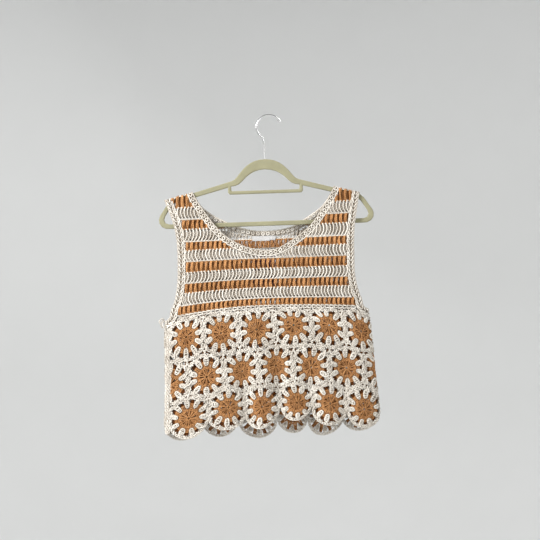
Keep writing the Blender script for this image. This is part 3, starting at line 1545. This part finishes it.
class CROCHET_OT_tails(bpy.types.Operator):
    """Leaves the loose ends of yarn under the left arm"""
    bl_idname = "crochet.tails"
    bl_label = "Yarn tails"

    def execute(self, context):
        skein = Skein(97)
        for path in TAILS:
            skein.strand(*evenly(path, 1.6).T, radius=1.15, wander=0.05)
        crochet("yarn_tails", skein, in_space, "cream")
        return {"FINISHED"}


class CROCHET_OT_stage(bpy.types.Operator):
    """Makes the floor, the backdrop, the lights and the camera"""
    bl_idname = "crochet.stage"
    bl_label = "Stage"

    def execute(self, context):
        settings = context.scene.crochet_stage
        cove(settings)
        area_light("key_light", (-1.9, -1.25, 1.0), MIDDLE, 0.8, settings.key)
        area_light("fill_light", (1.7, -2.1, -0.3), MIDDLE, 1.6, settings.fill)
        area_light("back_light", (1.2, 1.9, 1.2), MIDDLE, 1.2, settings.back)
        for k in range(6):
            angle = TURN * (k + 0.5) / 6
            way = (math.cos(angle), math.sin(angle))
            area_light(f"backdrop_light_{k + 1}", (1.3 * way[0], 1.3 * way[1], 1.7),
                       (3.4 * way[0], 3.4 * way[1], -0.4), 0.8, settings.backdrop)
        world = bpy.data.worlds.new("studio")
        world.use_nodes = True
        background = world.node_tree.nodes["Background"].inputs
        background["Color"].default_value = (1, 1, 1, 1)
        background["Strength"].default_value = AMBIENT
        context.scene.world = world
        context.scene.view_settings.view_transform = "Standard"
        lens = bpy.data.cameras.new("camera")
        lens.sensor_width = 36.0
        lens.angle = 2 * math.atan(VIEW_HIGH / 2 / VIEW_FROM)
        camera = show("camera", lens)
        camera.location = (0.0025, -VIEW_FROM * MM, -0.3192)
        camera.rotation_euler = (math.pi / 2, 0, 0)
        context.scene.camera = camera
        return {"FINISHED"}


def cove(settings):
    """A round floor that turns up into an upright backdrop on all sides."""
    bend, top, sides = 1.0, 2.2, 96
    profile = []
    for i in range(13):
        angle = math.pi / 2 * i / 12
        profile.append((settings.radius - bend + bend * math.sin(angle),
                        -settings.floor + bend - bend * math.cos(angle)))
    profile.append((settings.radius, top))
    bm = bmesh.new()
    pole = bm.verts.new((0, 0, -settings.floor))
    rings = [[bm.verts.new((radius * math.cos(TURN * i / sides),
                            radius * math.sin(TURN * i / sides), z)) for i in range(sides)]
             for radius, z in profile]
    for i in range(sides):
        j = (i + 1) % sides
        bm.faces.new((pole, rings[0][i], rings[0][j]))
        for low, high in zip(rings, rings[1:]):
            bm.faces.new((low[i], high[i], high[j], low[j]))
    for face in bm.faces:
        face.smooth = True
    mesh = bpy.data.meshes.new("floor_and_backdrop")
    bm.to_mesh(mesh)
    bm.free()
    finish = Finish("pale_plaster", {"Specular IOR Level": 0.2, "Roughness": 0.9})
    cloud = finish.noise(3.0, 4.0)
    mesh.materials.append(finish.end(
        Base_Color=finish.mix(cloud, dimmed(settings.colour, 0.96), settings.colour)))
    show("floor_and_backdrop", mesh)


def area_light(name, place, aim, size, power):
    """A soft round light that looks from its place to its aim."""
    light = bpy.data.lights.new(name, "AREA")
    light.shape = "DISK"
    light.size = size
    light.energy = power
    made = show(name, light)
    made.location = place
    way = [a - p for a, p in zip(aim, place)]
    flat = math.hypot(way[0], way[1])
    made.rotation_euler = (math.pi / 2 + math.atan2(way[2], flat), 0,
                           math.atan2(way[1], way[0]) - math.pi / 2)


class CROCHET_PT_panel(bpy.types.Panel):
    """Sidebar panel that lists the pieces"""
    bl_idname = "CROCHET_PT_panel"
    bl_label = "Crochet top"
    bl_space_type = "VIEW_3D"
    bl_region_type = "UI"
    bl_category = "Crochet top"

    def draw(self, context):
        for operator in OPERATORS:
            self.layout.operator(operator.bl_idname)


OPERATORS = (CROCHET_OT_finishes, CROCHET_OT_stage, CROCHET_OT_hanger, CROCHET_OT_hook,
             CROCHET_OT_yokes, CROCHET_OT_trims, CROCHET_OT_panel, CROCHET_OT_labels,
             CROCHET_OT_tails)
SETTINGS = {"crochet_yarn": YarnSettings, "crochet_hanger": HangerSettings,
            "crochet_stage": StageSettings}
CLASSES = (*SETTINGS.values(), *OPERATORS, CROCHET_PT_panel)


def register():
    for one in CLASSES:
        bpy.utils.register_class(one)
    for name, group in SETTINGS.items():
        setattr(bpy.types.Scene, name, bpy.props.PointerProperty(type=group))


def unregister():
    for name in SETTINGS:
        delattr(bpy.types.Scene, name)
    for one in reversed(CLASSES):
        bpy.utils.unregister_class(one)


def main():
    """Makes every piece in order."""
    register()
    for operator in OPERATORS:
        group, name = operator.bl_idname.split(".")
        getattr(getattr(bpy.ops, group), name)()


if __name__ == "__main__":
    main()
